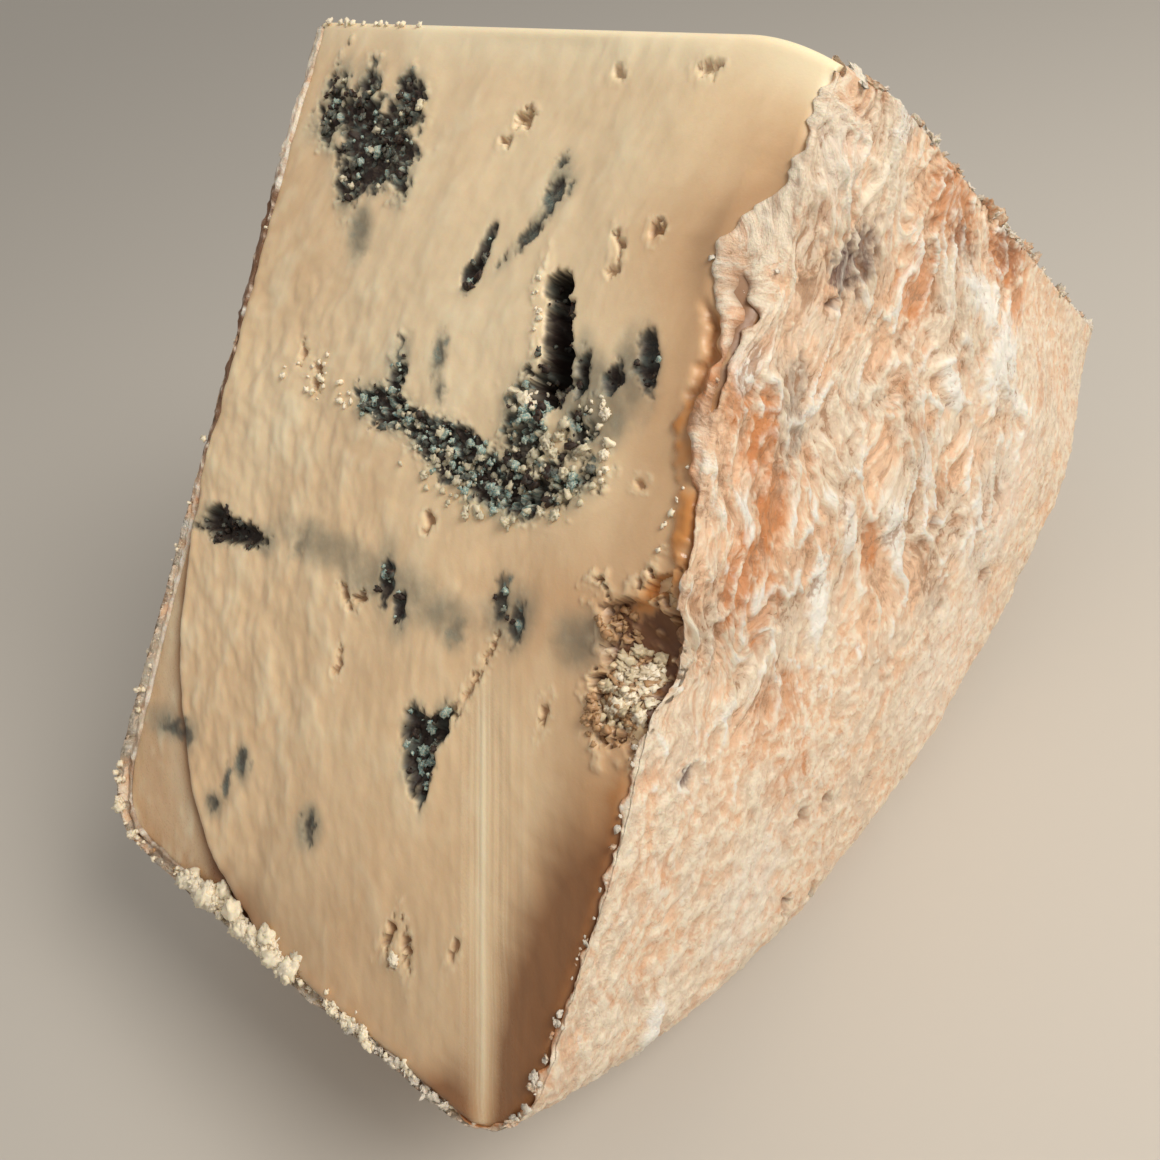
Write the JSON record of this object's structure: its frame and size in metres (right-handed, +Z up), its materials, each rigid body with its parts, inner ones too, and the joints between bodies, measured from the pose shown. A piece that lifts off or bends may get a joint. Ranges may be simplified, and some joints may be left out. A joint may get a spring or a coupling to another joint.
{
  "type": "blue cheese wedge",
  "caption": "Quarter of a small blue cheese wheel standing on its rim, with a washed rind, mould veins in open hollows and two knife-cut faces.",
  "frame": {"origin": "middle of the under side of the bounding box, on the flattened spot of the rim that the wedge rests on", "axes": "+Z up; +X along the wheel's axis, towards the swollen flat rind; -Y towards the front cut, which leans back"},
  "size_m": [0.0732, 0.1438, 0.1002],
  "materials": {
    "paste": "moist cream paste, satin, with blue-black mould in the hollows",
    "rind": "thin washed rind, peach-orange with cream ridges and white mould"
  },
  "bodies": {
    "root": {"cheese_wedge": "paste"}
  },
  "joints": []
}
